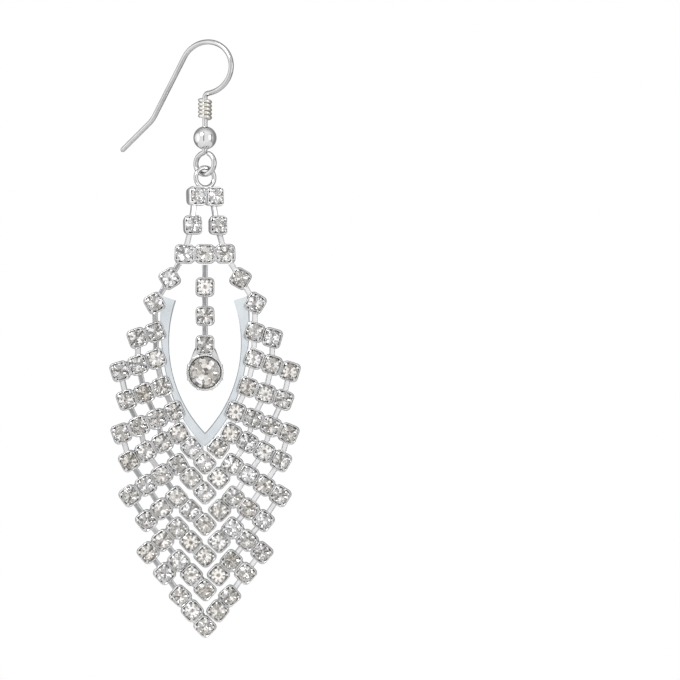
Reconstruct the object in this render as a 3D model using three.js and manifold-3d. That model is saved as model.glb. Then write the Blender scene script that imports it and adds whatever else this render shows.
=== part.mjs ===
// Chandelier earring of rhinestone cup chain. A leaf of ten stone rows hangs from a fish-hook ear wire
// with a wound coil and a ball bead. Each cup holds a stone with a table and eight facets. The chains run
// down each wing, their cups are soldered side by side in rows, and the lower rows meet in chevrons.
// Millimetres and degrees. The leaf lies in the XZ plane and faces -Y, and +Z is up. The origin is the
// inside of the ear wire's bend, where it hangs.
import * as THREE from "three";
import { mergeVertices } from "three/addons/utils/BufferGeometryUtils.js";
import Module from "manifold-3d";

const wasm = await Module();
wasm.setup();

// Ear wire
const WIRE_RADIUS = 0.33;
const BEND_INNER_RADIUS = 2.97; // half the height inside the bend that passes through the ear
const BEND_OVAL = 1.14; // the bend's width over its height
const BEND_SHIFT = 0.18; // of the bend's centre from the stem, away from the tip
const SHANK_REACH = 8.05; // from the stem out to the kink near the wire's tip
const SHANK_DROP = 9.27; // from the top of the bend down to the kink
const TIP_LENGTH = 5.9;
const TIP_SLOPE = 38; // below the horizontal
const TIP_RADIUS = 0.325; // of its rounded end
const KINK_RADIUS = 4;
const NECK_RADIUS = 0.5; // where the bend turns down into the stem
const HOOK_YAW = -32; // the wire's plane is turned this far from the leaf's
const EYE_RADIUS = 1.38; // middle line of the eye under the bead
const EYE_NECK = 0.1; // from the eye's round part up to where its sides part
const EYE_DROP = 0.3; // from the bead down to there

// Coil and bead on the stem
const COIL_WIRE_RADIUS = 0.24;
const COIL_TURNS = 5;
const COIL_START = 90; // angle of its upper end, behind the stem
const COIL_PITCH = 0.5;
const COIL_CLEARANCE = 0.1;
const BEAD_RADIUS = 1.5;
const BEAD_CLEARANCE = 0.08;
const COIL_TO_BEAD = 0.73; // bare stem between them
const BEAD_SIDES = 16;
const BEAD_STEPS = 10;

// Jump ring between the eye and the first row
const RING_RADIUS = 1.28;
const RING_WIRE_RADIUS = 0.3;
const RING_CLEARANCE = 0.22;
const SOLDER_OVERLAP = 0.45; // of the ring's lowest point into the first row
const RING_SIDES = 16;

// How finely the bent wires are swept: sides of the section, and steps along
const HOOK_SWEEP = { sides: 10, steps: 48 };
const EYE_SWEEP = { sides: 8, steps: 20 };
const COIL_SWEEP = { sides: 6, steps: 72 };

// One cup with its stone
const CUP_WIDTH = 2.42; // along a row
const CUP_HEIGHT = 2.52; // along a chain
const CUP_TAPER = 0.3; // in both, from the rim to the back
const CUP_DEPTH = 1.5;
const CUP_CORNER = 0.56; // chamfer of the cup's corners
const CUP_GAP = 0.03; // between neighbours in a row
const STONE_WIDTH = 2.08;
const TABLE_WIDTH = 1.18;
const CROWN_HEIGHT = 0.42;
const PRONG_HEIGHT = 0.34;
const PRONG_LEAN = 0.14; // how far its tip reaches in over the stone

// The flat links and solder bars behind the cups
const LINK_LENGTH = 1.18; // that shows between two cups
const LINK_WIDTH = 0.64;
const LINK_THICKNESS = 0.42;
const LINK_INSET = 0.12; // in front of the cups' backs
const LINK_BITE = 0.3; // into each cup
const SOLDER_WIDTH = 1.9;
const NODE_GAP = 0.12; // between pieces that meet
const SPLIT_GAP = 0.13; // more than a row's gap, between a middle stone and its neighbours

// Crown: three rows. The upper two turn towards the ring's plane as they rise.
const RING_YAW = 24;
const SECOND_ROW_YAW = 16;
const SECOND_ROW_HALF_SPAN = 1.7; // from the middle to each of its two stones
const THIRD_ROW_PITCH = 2.6;

// Side chains from the third row to the wings
const SIDE_STONES = 2;
const SIDE_SLOPE = 58.5;

// Opening of the leaf and the smooth band that lines it
const OPENING_HALF_WIDTH = 4.62;
const OPENING_WIDEST = 1.4; // below the first wing row
const BAND_WIDTH = 0.56; // that shows beside the stones
const BAND_LAP = 0.3; // behind them
const BAND_FLARE = 1.1; // how much more it laps behind them at its top
const BAND_FLARE_LENGTH = 8.5; // of the part that widens
const BAND_TIP_FLARE = 0.4; // how much more at its lower tip
const BAND_TIP_LENGTH = 7;
const BAND_THICKNESS = 0.4;
const BAND_STEPS = 14;
const BAND_TOP = 0.35; // above the last side stone's middle

// Centre strand and its large round stone
const CENTRE_STONES = 3;
const CENTRE_DROP = 0.55; // more than a link's length down to the first of them
const DROP_BITE = 0.12; // of the large setting into the last small cup
const DROP_RADIUS = 2.37; // outside of its setting's rim
const DROP_WALL = 0.3;
const SHOULDER_FOOT = 30; // angle on the large rim where the flare up to the last small cup starts
const SHOULDER_TOP = 68; // and where it meets the cup
const SHOULDER_RISE = 1; // of its outline there, out from the large rim
const SHOULDER_INSET = 0.3; // of its front behind the rim
const SHOULDER_THICKNESS = 0.8;
const SHOULDER_STEPS = 5;
const DROP_DEPTH = 2.4;
const DROP_BASE_SHARE = 0.72; // of the rim's radius
const DROP_SIDES = 16;
const CRYSTAL_CLEARANCE = 0.12;
const CRYSTAL_CROWN = 0.8;
const CRYSTAL_GIRDLE = 0.12; // thickness of its edge
const CRYSTAL_TABLE_SHARE = 0.56; // of the girdle's radius
const CRYSTAL_BACK_SHARE = 0.5; // of the girdle's radius
const CRYSTAL_SEAT = 0.35; // the girdle lies this far under the rim
const CLAW_COUNT = 8;
const CLAW_WIDTH = 0.5;
const CLAW_HEIGHT = 0.38;
const CLAW_LEAN = 0.42;
const CLAW_TIP_THICKNESS_SHARE = 0.6;
const CLAW_TIP_WIDTH_SHARE = 0.7;

// Rows of each wing, from the top. step: how far the row's inner stone lies under the one above, as a share
// of the chain's pitch. strand: the chain that this inner stone hangs on, counted from the opening.
// stones: in the wing. slope: how steeply the row falls outwards. chevron: slope of the V's arm, where the
// row runs on to the middle.
const LEAF_ROWS = [
  { step: 1.0, strand: 0, stones: 2, slope: 18 },
  { step: 0.92, strand: 0, stones: 3, slope: 19.5 },
  { step: 0.97, strand: 0, stones: 3, slope: 20 },
  { step: 0.86, strand: 0, stones: 4, slope: 22.5 },
  { step: 0.75, strand: 0, stones: 4, slope: 29, chevron: 49 },
  { step: 1.08, strand: 1, stones: 4, slope: 33, chevron: 46.5 },
  { step: 1.13, strand: 2, stones: 3, slope: 38, chevron: 44 },
  { step: 1.07, strand: 3, stones: 3, slope: 40, chevron: 45.5 },
  { step: 1.13, strand: 4, stones: 2, slope: 42, chevron: 48 },
  { step: 1.22, strand: 5, stones: 1, slope: 50, chevron: 51 },
];
const ARM_STONES = 2; // from a wing's inner stone to the middle one, which counts as the last

const SILVER = new THREE.MeshStandardMaterial({ color: 0xd9dadd, metalness: 1, roughness: 0.16 });
const PLATE = new THREE.MeshStandardMaterial({ color: 0xdfe6ee, metalness: 0.9, roughness: 0.32 });
const PAVE = new THREE.MeshStandardMaterial({ color: 0xcfd0cf, metalness: 0.7, roughness: 0.12 });
const CRYSTAL = new THREE.MeshStandardMaterial({ color: 0xf2f4f6, metalness: 0.1, roughness: 0.04 });

const cosine = (degrees) => Math.cos(THREE.MathUtils.degToRad(degrees));
const sine = (degrees) => Math.sin(THREE.MathUtils.degToRad(degrees));

// Heights and spans that follow from the sizes above
const BEND_RADIUS = BEND_INNER_RADIUS + WIRE_RADIUS;
const BEND_CENTRE = new THREE.Vector2(BEND_SHIFT / BEND_OVAL, -BEND_INNER_RADIUS);
const NECK_DROP = Math.sqrt((BEND_RADIUS + NECK_RADIUS) ** 2 - (NECK_RADIUS - BEND_CENTRE.x) ** 2);
const STEM_TOP = BEND_CENTRE.y - NECK_DROP;
const COIL_RADIUS = WIRE_RADIUS + COIL_CLEARANCE + COIL_WIRE_RADIUS;
const COIL_TOP = STEM_TOP - COIL_WIRE_RADIUS;
const COIL_BOTTOM = COIL_TOP - COIL_TURNS * COIL_PITCH;
const BEAD_CENTRE = COIL_BOTTOM - COIL_WIRE_RADIUS - COIL_TO_BEAD - BEAD_RADIUS;
const EYE_APEX = BEAD_CENTRE - BEAD_RADIUS - EYE_DROP;
const EYE_CENTRE = EYE_APEX - EYE_NECK - EYE_RADIUS;
const EYE_BOTTOM = EYE_CENTRE - EYE_RADIUS;
const RING_TOP = EYE_BOTTOM + WIRE_RADIUS + RING_WIRE_RADIUS + RING_CLEARANCE;
const RING_CENTRE = RING_TOP - RING_RADIUS;
const CUP_PITCH = CUP_WIDTH + CUP_GAP;
const CHAIN_PITCH = CUP_HEIGHT + LINK_LENGTH;
const FIRST_ROW = RING_CENTRE - RING_RADIUS - RING_WIRE_RADIUS + SOLDER_OVERLAP - CUP_HEIGHT / 2;
const SECOND_ROW = FIRST_ROW - CHAIN_PITCH;
const THIRD_ROW = SECOND_ROW - CHAIN_PITCH;

// A solid from a closed geometry, and back
function solid(geometry) {
  const bare = (geometry.index ? geometry.toNonIndexed() : geometry).clone();
  bare.deleteAttribute("normal");
  bare.deleteAttribute("uv");
  const merged = mergeVertices(bare, 1e-5);
  return new wasm.Manifold(
    new wasm.Mesh({
      numProp: 3,
      vertProperties: merged.attributes.position.array,
      triVerts: new Uint32Array(merged.index.array),
    }),
  );
}

function geometryOf(manifold) {
  const mesh = manifold.getMesh();
  const geometry = new THREE.BufferGeometry();
  geometry.setAttribute("position", new THREE.BufferAttribute(mesh.vertProperties, 3));
  geometry.setIndex(new THREE.BufferAttribute(mesh.triVerts, 1));
  const flat = geometry.toNonIndexed();
  flat.computeVertexNormals();
  return flat;
}

const union = (geometries) => geometries.map(solid).reduce((whole, next) => whole.add(next));
const fuse = (geometries) => geometryOf(union(geometries));

// A closed skin through outlines with the same number of points, listed from the back of the piece to its
// front and each turning anticlockwise as seen from the front. A peak is a point that pulls up one face,
// in front of the outline that it names.
function loft(outlines, peaks = []) {
  const sides = outlines[0].length;
  const points = [...outlines.flat(), ...peaks.map((peak) => peak.point)];
  const positions = points.flatMap((point) => [point.x, point.y, point.z]);
  const index = [];
  for (let ring = 0; ring + 1 < outlines.length; ring++) {
    for (let side = 0; side < sides; side++) {
      const a = ring * sides + side;
      const b = ring * sides + ((side + 1) % sides);
      const peak = peaks.findIndex((one) => one.outline === ring && one.side === side);
      const top = outlines.length * sides + peak;
      const face = [a, b, b + sides, a + sides];
      if (peak < 0) index.push(a, b, b + sides, a, b + sides, a + sides);
      else face.forEach((corner, i) => index.push(corner, face[(i + 1) % face.length], top));
    }
  }
  const front = (outlines.length - 1) * sides;
  for (let side = 1; side + 1 < sides; side++) {
    index.push(0, side + 1, side);
    index.push(front, front + side, front + side + 1);
  }
  const geometry = new THREE.BufferGeometry();
  geometry.setAttribute("position", new THREE.Float32BufferAttribute(positions, 3));
  geometry.setIndex(index);
  return geometry;
}

// Outlines across the facing direction. A piece is drawn facing -Y, and depth counts back from the front
// of its cup's rim, so what stands in front of the rim has a negative depth.
function cutCorners(width, height, corner, depth) {
  const [right, top] = [width / 2, height / 2];
  const corners = [
    [right, top - corner],
    [right - corner, top],
    [corner - right, top],
    [-right, top - corner],
  ];
  const around = [...corners, ...corners.map(([x, z]) => [-x, -z])];
  return around.map(([x, z]) => new THREE.Vector3(x, depth, z));
}

function polygon(radius, depth, sides) {
  return Array.from({ length: sides }, (_, side) => {
    const angle = (360 * (side + 0.5)) / sides;
    return new THREE.Vector3(radius * cosine(angle), depth, radius * sine(angle));
  });
}

const OCTAGON_CORNER = (1 - Math.tan(Math.PI / 8)) / 2; // of its width
const octagon = (width, depth) => cutCorners(width, width, width * OCTAGON_CORNER, depth);

// A claw that stands on the rim and leans over the stone
function claw(rimRadius, width, thickness, height, lean, angle) {
  const block = new THREE.BoxGeometry(thickness, height * 2, width);
  const places = block.attributes.position;
  for (let corner = 0; corner < places.count; corner++) {
    if (places.getY(corner) < 0) {
      places.setX(corner, places.getX(corner) * CLAW_TIP_THICKNESS_SHARE - lean);
      places.setZ(corner, places.getZ(corner) * CLAW_TIP_WIDTH_SHARE);
    }
  }
  block.translate(rimRadius - thickness / 2, 0, 0);
  return block.rotateY(THREE.MathUtils.degToRad(angle));
}

// Cup, stone and a prong on each cut corner of the rim, in one skin with the rim's middle at the origin
function setStone() {
  const reach = (STONE_WIDTH / 2 - PRONG_LEAN) * Math.SQRT1_2;
  const corners = [[1, 1], [-1, 1], [-1, -1], [1, -1]];
  const prongs = corners.map(([x, z], i) => ({
    outline: 1,
    side: i * 2,
    point: new THREE.Vector3(x * reach, -PRONG_HEIGHT, z * reach),
  }));
  const outlines = [
    cutCorners(CUP_WIDTH - CUP_TAPER, CUP_HEIGHT - CUP_TAPER, CUP_CORNER, CUP_DEPTH),
    cutCorners(CUP_WIDTH, CUP_HEIGHT, CUP_CORNER, 0),
    octagon(STONE_WIDTH, 0),
    octagon(TABLE_WIDTH, -CROWN_HEIGHT),
  ];
  return loft(outlines, prongs);
}
const SET_STONE = setStone();

// A place for a cup: the middle of its body, how far it is rolled in its own plane,
// its yaw, and how much wider than the others it is
const place = (x, z, roll = 0, yaw = 0, widening = 1) => ({
  middle: new THREE.Vector3(x * cosine(yaw), x * sine(yaw), z),
  roll,
  yaw,
  widening,
});
const mirrored = ({ middle, roll, yaw, widening }) => ({
  middle: new THREE.Vector3(-middle.x, middle.y, middle.z),
  roll: -roll,
  yaw: -yaw,
  widening,
});
const facing = ({ yaw }) => new THREE.Vector3(sine(yaw), -cosine(yaw), 0);

function stoneAt(at) {
  const geometry = SET_STONE.clone();
  geometry.scale(at.widening, 1, 1);
  geometry.translate(0, -CUP_DEPTH / 2, 0);
  geometry.rotateY(THREE.MathUtils.degToRad(at.roll));
  geometry.rotateZ(THREE.MathUtils.degToRad(at.yaw));
  return geometry.translate(at.middle.x, at.middle.y, at.middle.z);
}

// A flat bar between two cups, low in their walls. It starts and ends this far from the cups' middles.
const BAR_TRIM = (CUP_WIDTH - CUP_TAPER) / 2 - LINK_BITE;
function bar(from, to, width = LINK_WIDTH, trim = BAR_TRIM) {
  const back = CUP_DEPTH / 2 - LINK_THICKNESS / 2 - LINK_INSET;
  const start = from.middle.clone().addScaledVector(facing(from), -back);
  const end = to.middle.clone().addScaledVector(facing(to), -back);
  const along = end.clone().sub(start).normalize();
  start.addScaledVector(along, trim);
  end.addScaledVector(along, -BAR_TRIM);
  const front = facing(from).add(facing(to));
  front.addScaledVector(along, -front.dot(along)).normalize();
  const across = new THREE.Vector3().crossVectors(along, front);
  const block = new THREE.BoxGeometry(width, LINK_THICKNESS, start.distanceTo(end));
  const centre = start.add(end).multiplyScalar(0.5);
  return block.applyMatrix4(
    new THREE.Matrix4().makeBasis(across, front.negate(), along).setPosition(centre),
  );
}
const pairs = (list) => list.slice(1).map((item, i) => [list[i], item]);
const linked = (places) => pairs(places).map(([from, to]) => bar(from, to));
const soldered = (places) => pairs(places).map(([from, to]) => bar(from, to, SOLDER_WIDTH));

// A flat path drawn in the wire's own plane, stood up for a sweep and widened by a factor
class StandingPath extends THREE.Curve {
  constructor(path, widening = 1) {
    super();
    this.path = path;
    this.widening = widening;
  }
  getPoint(t, target = new THREE.Vector3()) {
    const point = this.path.getPointAt(t);
    return target.set(point.x * this.widening, 0, point.y);
  }
}

class Helix extends THREE.Curve {
  getPoint(t, target = new THREE.Vector3()) {
    const angle = COIL_START + 360 * COIL_TURNS * t;
    return target.set(
      COIL_RADIUS * cosine(angle),
      COIL_RADIUS * sine(angle),
      COIL_TOP + (COIL_BOTTOM - COIL_TOP) * t,
    );
  }
}

function sweep(curve, radius, { sides, steps }) {
  const section = new THREE.Shape();
  for (let side = 0; side < sides; side++) {
    const angle = (360 * side) / sides;
    section[side ? "lineTo" : "moveTo"](radius * cosine(angle), radius * sine(angle));
  }
  section.closePath();
  return new THREE.ExtrudeGeometry(section, { steps, extrudePath: curve, curveSegments: 1 });
}

// The hook, stem and eye of the ear wire
function earWire() {
  const narrowed = (x, z) => new THREE.Vector2(x / BEND_OVAL, z); // drawn with a round bend
  const kink = narrowed(-SHANK_REACH, -SHANK_DROP);
  const tip = kink.clone().sub(narrowed(TIP_LENGTH * cosine(TIP_SLOPE), TIP_LENGTH * sine(TIP_SLOPE)));
  const toKink = kink.clone().sub(BEND_CENTRE);
  const touch = toKink.angle() - Math.acos(BEND_RADIUS / toKink.length());
  const touchPoint = new THREE.Vector2(Math.cos(touch), Math.sin(touch))
    .multiplyScalar(BEND_RADIUS)
    .add(BEND_CENTRE);
  const tipWay = tip.clone().sub(kink).normalize();
  const shankWay = touchPoint.clone().sub(kink).normalize();
  const turn = Math.acos(-tipWay.dot(shankWay));
  const cut = KINK_RADIUS * Math.tan(turn / 2);
  const kinkEnd = kink.clone().addScaledVector(shankWay, cut);
  const neckCentre = new THREE.Vector2(NECK_RADIUS, STEM_TOP);
  const neckStart = Math.atan2(NECK_DROP, BEND_CENTRE.x - NECK_RADIUS);
  const hook = new THREE.Path();
  hook.moveTo(tip.x, tip.y);
  hook.lineTo(kink.x + tipWay.x * cut, kink.y + tipWay.y * cut);
  hook.quadraticCurveTo(kink.x, kink.y, kinkEnd.x, kinkEnd.y);
  hook.lineTo(touchPoint.x, touchPoint.y);
  hook.absarc(BEND_CENTRE.x, BEND_CENTRE.y, BEND_RADIUS, touch, neckStart - Math.PI, true);
  hook.absarc(neckCentre.x, neckCentre.y, NECK_RADIUS, neckStart, Math.PI, false);
  hook.lineTo(0, EYE_APEX - WIRE_RADIUS);
  const eye = new THREE.Path();
  const spread = Math.acos(EYE_RADIUS / (EYE_APEX - EYE_CENTRE));
  eye.moveTo(0, EYE_APEX);
  eye.absarc(0, EYE_CENTRE, EYE_RADIUS, Math.PI / 2 + spread, Math.PI / 2 - spread + 2 * Math.PI, false);
  eye.lineTo(0, EYE_APEX);
  const blunt = new THREE.SphereGeometry(TIP_RADIUS, EYE_SWEEP.sides).translate(tip.x * BEND_OVAL, 0, tip.y);
  return fuse([
    sweep(new StandingPath(hook, BEND_OVAL), WIRE_RADIUS, HOOK_SWEEP),
    sweep(new StandingPath(eye), WIRE_RADIUS, EYE_SWEEP),
    blunt,
  ]).rotateZ(THREE.MathUtils.degToRad(HOOK_YAW));
}

// The bead, turned with its bore
function ballBead() {
  const bore = WIRE_RADIUS + BEAD_CLEARANCE;
  const cap = Math.asin(bore / BEAD_RADIUS);
  const profile = [];
  for (let step = 0; step <= BEAD_STEPS; step++) {
    const angle = -Math.PI / 2 + cap + ((Math.PI - 2 * cap) * step) / BEAD_STEPS;
    profile.push(new THREE.Vector2(BEAD_RADIUS * Math.cos(angle), BEAD_RADIUS * Math.sin(angle)));
  }
  profile.push(profile[0].clone());
  return new THREE.LatheGeometry(profile, BEAD_SIDES)
    .rotateX(Math.PI / 2)
    .translate(0, 0, BEAD_CENTRE);
}

// The crown: a ring soldered on two stones, a pair of stones, and a bar of three
const crownRow = (count, pitch, z, yaw, widening) =>
  Array.from({ length: count }, (_, i) => place((i - (count - 1) / 2) * pitch, z, 0, yaw, widening));
const firstRow = crownRow(2, CUP_PITCH, FIRST_ROW, RING_YAW);
const secondRow = crownRow(2, 2 * SECOND_ROW_HALF_SPAN, SECOND_ROW, SECOND_ROW_YAW);
const thirdRow = crownRow(3, THIRD_ROW_PITCH, THIRD_ROW, 0, THIRD_ROW_PITCH / CUP_PITCH);

function crown() {
  const ring = new THREE.TorusGeometry(RING_RADIUS, RING_WIRE_RADIUS, COIL_SWEEP.sides, RING_SIDES)
    .rotateX(Math.PI / 2)
    .rotateZ(THREE.MathUtils.degToRad(RING_YAW))
    .translate(0, 0, RING_CENTRE);
  const ladder = [0, 1].flatMap((side) => linked([firstRow[side], secondRow[side], thirdRow[side * 2]]));
  const stones = [...firstRow, ...secondRow, ...thirdRow].map(stoneAt);
  return fuse([...stones, ring, ...ladder, ...soldered(firstRow), ...soldered(thirdRow)]);
}

// The right wing's rows, and the left one's mirrored from them. Each row lists its inner stone first.
const sideStart = place(THIRD_ROW_PITCH, THIRD_ROW);
const sideStones = Array.from({ length: SIDE_STONES }, (_, i) =>
  place(
    sideStart.middle.x + (i + 1) * CHAIN_PITCH * cosine(SIDE_SLOPE),
    THIRD_ROW - (i + 1) * CHAIN_PITCH * sine(SIDE_SLOPE),
    90 - SIDE_SLOPE,
  ),
);
const sideEnd = sideStones[SIDE_STONES - 1].middle.z;
const rowHeights = LEAF_ROWS.reduce(
  (heights, row) => [...heights, heights[heights.length - 1] - row.step * CHAIN_PITCH],
  [sideEnd],
).slice(1);
const FIRST_CHEVRON = LEAF_ROWS.findIndex((row) => row.chevron);

// The opening's edge is one arc on each side, from its widest height down to a point at the first chevron
const WIDEST_HEIGHT = rowHeights[0] - OPENING_WIDEST;
const TAPER = WIDEST_HEIGHT - rowHeights[FIRST_CHEVRON];
const EDGE_RADIUS = (OPENING_HALF_WIDTH ** 2 + TAPER ** 2) / (2 * OPENING_HALF_WIDTH);
const EDGE_CENTRE = OPENING_HALF_WIDTH - EDGE_RADIUS;
const edgeAt = (z, out = 0) =>
  EDGE_CENTRE + Math.sqrt((EDGE_RADIUS + out) ** 2 - (z - WIDEST_HEIGHT) ** 2);

// Along a chevron's arm, from its middle stone to the one that is so many stones out
const armReach = (stones) => stones * CUP_PITCH + (stones ? SPLIT_GAP : 0);
const innerStone = (row, z) =>
  row.chevron
    ? armReach(ARM_STONES) * cosine(row.chevron)
    : edgeAt(z) + BAND_WIDTH + CUP_WIDTH / 2;
const wingRows = LEAF_ROWS.map((row, r) => {
  const x = innerStone(row, rowHeights[r]);
  return Array.from({ length: row.stones }, (_, i) =>
    place(
      x + i * CUP_PITCH * cosine(row.slope),
      rowHeights[r] - i * CUP_PITCH * sine(row.slope),
      row.slope,
    ),
  );
});

// From each wing's inner stone down to the middle, with the middle stone last
const chevronArms = LEAF_ROWS.map((row, r) =>
  Array.from({ length: row.chevron ? ARM_STONES : 0 }, (_, i) => {
    const left = ARM_STONES - 1 - i;
    return place(
      armReach(left) * cosine(row.chevron),
      rowHeights[r] - (armReach(ARM_STONES) - armReach(left)) * sine(row.chevron),
      left ? -row.chevron : 45,
    );
  }),
);

// One chain: the stones of one strand in the rows that it crosses
const strandCount = Math.max(...LEAF_ROWS.map((row) => row.strand + row.stones));
const strandStones = (strand) =>
  wingRows
    .map((stones, r) => stones[strand - LEAF_ROWS[r].strand])
    .filter((stone) => stone !== undefined);

// One half of the leaf. The middle stones belong to the half that asks for them.
function leafHalf(side, withMiddle) {
  const arms = chevronArms.map((arm) => (withMiddle ? arm : arm.slice(0, -1)));
  const strands = Array.from({ length: strandCount }, (_, strand) => strandStones(strand));
  const chains = [[...sideStones, ...strands[0]], ...strands.slice(1)];
  const runs = wingRows.map((stones, r) => [...[...stones].reverse(), ...arms[r]]);
  const hand = (places) => (side < 0 ? places.map(mirrored) : places);
  const topBar = bar(
    ...hand([sideStart, sideStones[0]]),
    LINK_WIDTH,
    CUP_HEIGHT / 2 + NODE_GAP,
  );
  const stones = hand([...sideStones, ...runs.flat()]).map(stoneAt);
  const bars = [
    ...chains.flatMap((chain) => linked(hand(chain))),
    ...runs.flatMap((run) => soldered(hand(run))),
  ];
  return fuse([...stones, topBar, ...bars]);
}

// The smooth band behind the inner stones
function innerBand() {
  const top = sideEnd + BAND_TOP;
  const out = BAND_WIDTH + BAND_LAP;
  const tipDrop = Math.sqrt((EDGE_RADIUS + out + BAND_TIP_FLARE) ** 2 - EDGE_CENTRE ** 2);
  const heights = (end) =>
    Array.from({ length: BAND_STEPS + 1 }, (_, i) => top + ((end - top) * i) / BAND_STEPS);
  const low = WIDEST_HEIGHT - TAPER;
  const flare = (z) =>
    BAND_FLARE * Math.max(0, 1 - (top - z) / BAND_FLARE_LENGTH) ** 2 +
    BAND_TIP_FLARE * Math.max(0, 1 - Math.max(0, z - low) / BAND_TIP_LENGTH);
  const inner = heights(low).map((z) => [edgeAt(z), z]);
  const outer = heights(WIDEST_HEIGHT - tipDrop).map((z) => [edgeAt(z, out + flare(z)), z]);
  const flip = (points) => points.map(([x, z]) => [-x, z]);
  const outline = [
    ...inner,
    ...flip(inner).reverse().slice(1),
    ...flip(outer),
    ...outer.slice(0, -1).reverse(),
  ];
  const shape = new THREE.Shape(outline.map(([x, z]) => new THREE.Vector2(x, z)));
  return new THREE.ExtrudeGeometry(shape, { depth: BAND_THICKNESS, bevelEnabled: false })
    .rotateX(Math.PI / 2)
    .translate(0, CUP_DEPTH / 2 + NODE_GAP + BAND_THICKNESS, 0);
}

// The centre strand ends in the open setting of the large stone
const centreStones = Array.from({ length: CENTRE_STONES }, (_, i) =>
  place(0, THIRD_ROW - CENTRE_DROP - (i + 1) * CHAIN_PITCH),
);
const DROP_CENTRE =
  centreStones[CENTRE_STONES - 1].middle.z - CUP_HEIGHT / 2 - DROP_RADIUS + DROP_BITE;
const CRYSTAL_RADIUS = DROP_RADIUS - DROP_WALL - CRYSTAL_CLEARANCE;
const DROP_FLOOR = DROP_DEPTH - DROP_WALL;
const RIM_DEPTH = -CUP_DEPTH / 2; // the large setting's rim stands as far forward as the small ones'

function centreStrand() {
  const rim = (radius, depth) => polygon(radius, depth, DROP_SIDES);
  const inner = DROP_RADIUS - DROP_WALL;
  const cup = loft([
    rim(inner * DROP_BASE_SHARE, DROP_FLOOR),
    rim(inner, CRYSTAL_SEAT),
    rim(inner, 0),
    rim(DROP_RADIUS, 0),
    rim(DROP_RADIUS, CRYSTAL_SEAT),
    rim(DROP_RADIUS * DROP_BASE_SHARE, DROP_DEPTH),
  ].reverse());
  const claws = Array.from({ length: CLAW_COUNT }, (_, i) =>
    claw(DROP_RADIUS, CLAW_WIDTH, DROP_WALL, CLAW_HEIGHT, CLAW_LEAN, (360 * (i + 0.5)) / CLAW_COUNT),
  );
  const seat = solid(crystalShape(CRYSTAL_CLEARANCE));
  const setting = geometryOf(union([cup, ...claws]).subtract(seat)).translate(0, RIM_DEPTH, DROP_CENTRE);
  const topBar = bar(
    place(0, THIRD_ROW),
    centreStones[0],
    LINK_WIDTH,
    CUP_HEIGHT / 2 + NODE_GAP,
  );
  const shoulders = [-1, 1].map(shoulder);
  return fuse([...centreStones.map(stoneAt), topBar, ...linked(centreStones), setting, ...shoulders]);
}

// The flare on one side, from the large rim up to the wall of the last small cup
function shoulder(side) {
  const curve = (radiusAt) =>
    Array.from({ length: SHOULDER_STEPS + 1 }, (_, i) => {
      const share = i / SHOULDER_STEPS;
      const angle = THREE.MathUtils.lerp(SHOULDER_FOOT, SHOULDER_TOP, share);
      const radius = radiusAt(share);
      return new THREE.Vector2(side * radius * cosine(angle), DROP_CENTRE + radius * sine(angle));
    });
  const outer = curve((share) => DROP_RADIUS + SHOULDER_RISE * share ** 2);
  const inner = curve(() => DROP_RADIUS - DROP_WALL / 2);
  return new THREE.ExtrudeGeometry(new THREE.Shape([...outer, ...inner.reverse()]), {
    depth: SHOULDER_THICKNESS,
    bevelEnabled: false,
  })
    .rotateX(Math.PI / 2)
    .translate(0, RIM_DEPTH + SHOULDER_INSET + SHOULDER_THICKNESS, 0);
}

// The large stone: foiled back, girdle, eight-fold crown and table, drawn with the rim's middle at the
// origin. The same shape a little larger clears its seat.
function crystalShape(grow) {
  const ring = (radius, depth) => polygon(radius + grow, depth, DROP_SIDES);
  const girdle = CRYSTAL_SEAT - CRYSTAL_GIRDLE;
  return loft([
    ring(CRYSTAL_RADIUS * CRYSTAL_BACK_SHARE, DROP_FLOOR - NODE_GAP + grow),
    ring(CRYSTAL_RADIUS, CRYSTAL_SEAT),
    ring(CRYSTAL_RADIUS, girdle),
    ring(CRYSTAL_RADIUS * CRYSTAL_TABLE_SHARE, girdle - CRYSTAL_CROWN - grow),
  ]);
}

function mesh(name, geometry, material) {
  const made = new THREE.Mesh(geometry, material);
  made.name = name;
  return made;
}

const wire = new THREE.Group();
wire.add(
  mesh("ear_wire", earWire(), SILVER),
  mesh("wire_coil", sweep(new Helix(), COIL_WIRE_RADIUS, COIL_SWEEP), SILVER),
  mesh("ball_bead", ballBead(), SILVER),
);
const drop = new THREE.Group();
drop.add(
  mesh("crown_ladder", crown(), PAVE),
  mesh("leaf_left", leafHalf(-1, true), PAVE),
  mesh("leaf_right", leafHalf(1, false), PAVE),
  mesh("inner_band", innerBand(), PLATE),
  mesh("centre_strand", centreStrand(), PAVE),
  mesh("drop_crystal", crystalShape(0).translate(0, RIM_DEPTH, DROP_CENTRE), CRYSTAL),
);
const earring = new THREE.Group();
earring.add(wire, drop);

export default earring;
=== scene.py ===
"""The looks of a rhinestone chandelier earring, dressed over its fixed frame.

Sizes are in millimetres and degrees. Each piece is built in millimetres and scaled to metres when it is
made. The leaf faces -Y, +Z is up, and the origin is the inside of the ear wire's bend.
"""
import math
import random

import bmesh
import bpy
from mathutils import Matrix, Vector


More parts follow.
